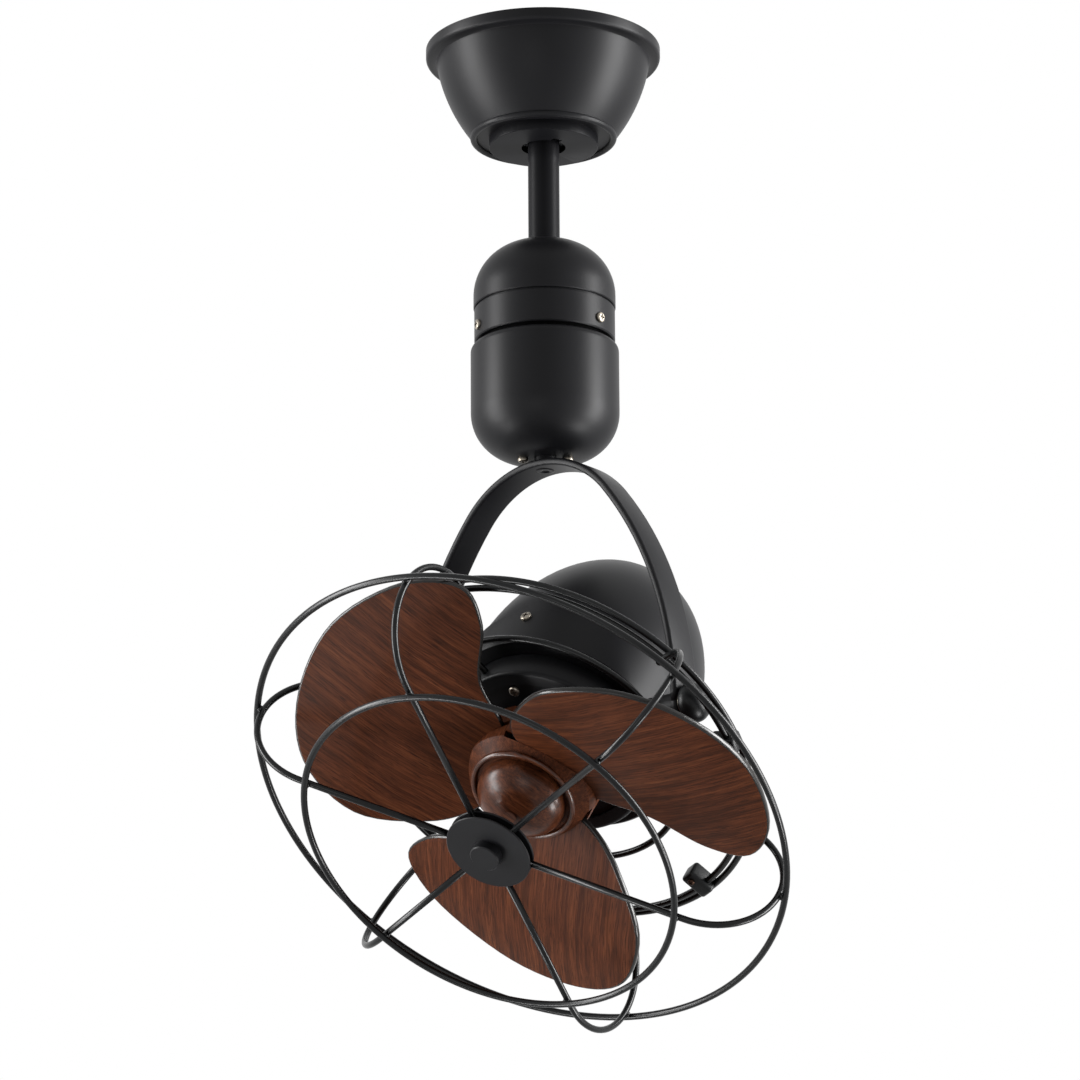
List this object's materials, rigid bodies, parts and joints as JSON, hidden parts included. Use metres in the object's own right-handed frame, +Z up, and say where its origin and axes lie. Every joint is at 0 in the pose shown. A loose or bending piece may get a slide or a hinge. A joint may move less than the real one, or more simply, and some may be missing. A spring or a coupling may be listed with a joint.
{
  "type": "ceiling fan",
  "caption": "Ceiling fan with a caged head in an arched yoke: a geared column pans it, knobs clamp its tilt, and a motor turns broad walnut blades.",
  "frame": {"origin": "middle of the ceiling bracket's top face, in the plane of the ceiling", "axes": "+Z up into the ceiling, X along the tilt axis, the head facing -Y and 52 degrees down"},
  "size_m": [0.3804, 0.3146, 0.6694],
  "materials": {
    "satin_black": "satin",
    "walnut": "oiled, satin",
    "plated_steel": "satin",
    "nickel": "polished",
    "bronze": "machined",
    "copper_wire": "enamelled",
    "black_plastic": "matte",
    "motor_iron": "laminated",
    "cast_aluminium": "as cast"
  },
  "bodies": {
    "column": {"ceiling_bracket": "plated_steel", "canopy": "satin_black", "canopy_cover": "satin_black", "canopy_screws": "nickel", "hanger_ball": "plated_steel", "downrod": "satin_black", "cross_pins": "nickel", "rod_collar": "plated_steel", "upper_cap": "satin_black", "mid_band": "satin_black", "band_screws": "nickel", "chassis_plate": "plated_steel", "gearmotor": "black_plastic", "spindle": "plated_steel", "spindle_nut": "nickel"},
    "pinion": {"pan_pinion": "nickel"},
    "yoke_assembly": {"lower_shell": "satin_black", "pan_carrier": "cast_aluminium", "pan_bushes": "bronze", "pan_gear": "plated_steel", "flange_screws": "nickel", "yoke_neck": "satin_black", "yoke": "satin_black", "yoke_bolt": "nickel", "leg_washers": "nickel"},
    "head": {"tilt_bosses": "satin_black", "front_housing": "cast_aluminium", "front_plate": "cast_aluminium", "plate_screws": "nickel", "housing_band": "cast_aluminium", "housing_screws": "nickel", "rear_cover": "satin_black", "end_bell": "cast_aluminium", "motor_bearings": "nickel", "stator": "motor_iron", "windings": "copper_wire", "capacitor": "black_plastic", "guard_arms": "satin_black", "guard_inner_ring": "satin_black", "guard_outer_ring": "satin_black", "cage_clips": "satin_black", "clip_screws": "nickel", "cage_rear_ring": "satin_black", "cage_outer_ring": "satin_black", "cage_front_ring": "satin_black", "cage_spokes": "satin_black", "disc_back": "satin_black", "disc_front": "satin_black", "disc_bolt": "satin_black"},
    "rotor": {"motor_shaft": "plated_steel", "rotor_core": "motor_iron", "blade_carrier": "cast_aluminium", "blade_1": "walnut", "blade_2": "walnut", "blade_3": "walnut", "blade_screws": "nickel", "hub_body": "walnut", "hub_nose": "walnut"},
    "left_clamp": {"knob_left": "black_plastic"},
    "right_clamp": {"knob_right": "black_plastic"}
  },
  "joints": [
    {"name": "pan", "type": "hinge", "parent": "column", "child": "yoke_assembly", "pos_m": [0, 0, -0.25], "axis": [0, 0, 1], "range_deg": [-90, 90]},
    {"name": "pinion_spin", "type": "hinge", "parent": "column", "child": "pinion", "pos_m": [0.028, 0, -0.228], "axis": [0, 0, 1], "range_deg": [-225, 225]},
    {"name": "tilt", "type": "hinge", "parent": "yoke_assembly", "child": "head", "pos_m": [0, 0, -0.485], "axis": [1, 0, 0], "range_deg": [-42, 38]},
    {"name": "rotor_spin", "type": "hinge", "parent": "head", "child": "rotor", "pos_m": [0, 0.0063, -0.48992], "axis": [0, -0.6157, -0.788], "continuous": true},
    {"name": "left_knob_turn", "type": "hinge", "parent": "head", "child": "left_clamp", "pos_m": [-0.125, 0, -0.485], "axis": [-1, 0, 0], "range_deg": [0, 360]},
    {"name": "right_knob_turn", "type": "hinge", "parent": "head", "child": "right_clamp", "pos_m": [0.125, 0, -0.485], "axis": [1, 0, 0], "range_deg": [0, 360]}
  ],
  "couplings": [
    {"joint": "pinion_spin", "follows": "pan", "ratio": -2.5}
  ]
}
